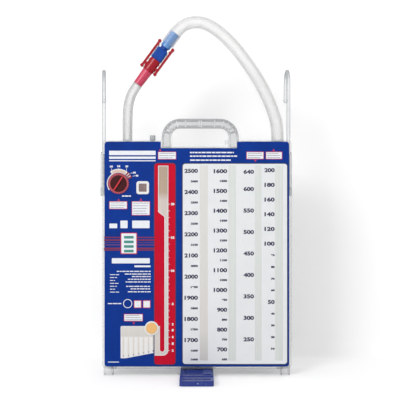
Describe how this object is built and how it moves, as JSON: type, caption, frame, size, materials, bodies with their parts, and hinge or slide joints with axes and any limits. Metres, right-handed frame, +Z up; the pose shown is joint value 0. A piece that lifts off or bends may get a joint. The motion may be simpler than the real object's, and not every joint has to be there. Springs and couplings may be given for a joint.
{
  "type": "chest drain unit",
  "caption": "Flat clear chest drain box with printed front films, suction dial, hose loop with coupler, carry handle, hangers and swivel foot.",
  "frame": {"origin": "on the floor, below the floor stand's pivot, in the middle of the object's footprint", "axes": "+Z up, front towards -Y, +X to the right seen from the front"},
  "size_m": [0.2685, 0.224, 0.4944],
  "materials": {
    "clear_plastic": "clear moulded styrene, glossy",
    "face_film": "blue printed film, satin",
    "seal_film": "red printed film, satin",
    "volume_film": "white printed film, satin",
    "white_plastic": "white moulded plastic",
    "septum_rubber": "orange self-sealing rubber",
    "dial_red": "dark red moulded plastic",
    "orange_plastic": "orange moulded plastic",
    "stand_blue": "blue moulded plastic",
    "steel_wire": "spring steel",
    "seal_rubber": "pale silicone rubber",
    "hose_clear": "clear flexible hose",
    "coupler_red": "red moulded plastic",
    "coupler_blue": "blue moulded plastic",
    "sleeve_red": "translucent red sleeve",
    "sleeve_blue": "translucent blue sleeve"
  },
  "bodies": {
    "housing": {"back_shell": "clear_plastic", "front_cover": "clear_plastic", "face_label": "face_film", "seal_scale_label": "seal_film", "volume_scale_label": "volume_film", "seal_chamber": "clear_plastic", "leak_meter": "white_plastic", "septum_ring": "white_plastic", "septum": "septum_rubber", "dial_scale": "white_plastic", "regulator_body": "white_plastic", "regulator_diaphragm": "seal_rubber", "regulator_spring": "steel_wire", "indicator_frame": "white_plastic", "indicator_lens": "clear_plastic", "indicator_chute": "white_plastic", "carry_handle": "clear_plastic", "stand_pivot": "clear_plastic", "vent_spring": "steel_wire", "relief_valve": "seal_rubber", "suction_port": "clear_plastic", "patient_port": "clear_plastic", "smooth_hose": "hose_clear", "corrugated_hose": "hose_clear", "red_sleeve": "sleeve_red", "red_coupler": "coupler_red", "coupler_seal": "seal_rubber", "blue_coupler": "coupler_blue", "blue_sleeve": "sleeve_blue", "hose_cuff": "hose_clear"},
    "dial": {"suction_dial": "dial_red", "dial_retainer": "steel_wire"},
    "indicator": {"indicator_float": "orange_plastic"},
    "water_seal_float": {"seal_float": "white_plastic"},
    "vent": {"vent_button": "clear_plastic"},
    "stand": {"floor_stand": "stand_blue"},
    "left_hanger": {"hanger_left": "clear_plastic", "hanger_cap_left": "clear_plastic"},
    "right_hanger": {"hanger_right": "clear_plastic", "hanger_cap_right": "clear_plastic"}
  },
  "joints": [
    {"name": "dial_turn", "type": "hinge", "parent": "housing", "child": "dial", "pos_m": [-0.106, -0.036, 0.2606], "axis": [0, -1, 0], "range_deg": [-33, 55]},
    {"name": "indicator_rise", "type": "slide", "parent": "housing", "child": "indicator", "axis": [0, 0, 1], "range_m": [0, 0.01]},
    {"name": "seal_float_rise", "type": "slide", "parent": "housing", "child": "water_seal_float", "axis": [0, 0, 1], "range_m": [0, 0.006]},
    {"name": "vent_press", "type": "slide", "parent": "housing", "child": "vent", "axis": [0, 0, -1], "range_m": [0, 0.0024], "stiffness_N_per_m": 800, "springref_m": -0.001, "deforming": ["vent_spring"]},
    {"name": "stand_swing", "type": "hinge", "parent": "housing", "child": "stand", "pos_m": [0, 0, 0.004], "axis": [0, 0, 1], "range_deg": [0, 90]},
    {"name": "left_hanger_swing", "type": "hinge", "parent": "housing", "child": "left_hanger", "pos_m": [-0.129, 0, 0.302], "axis": [0, 0, 1], "range_deg": [-5, 84]},
    {"name": "right_hanger_swing", "type": "hinge", "parent": "housing", "child": "right_hanger", "pos_m": [0.127, 0, 0.302], "axis": [0, 0, 1], "range_deg": [-90, 0]}
  ]
}
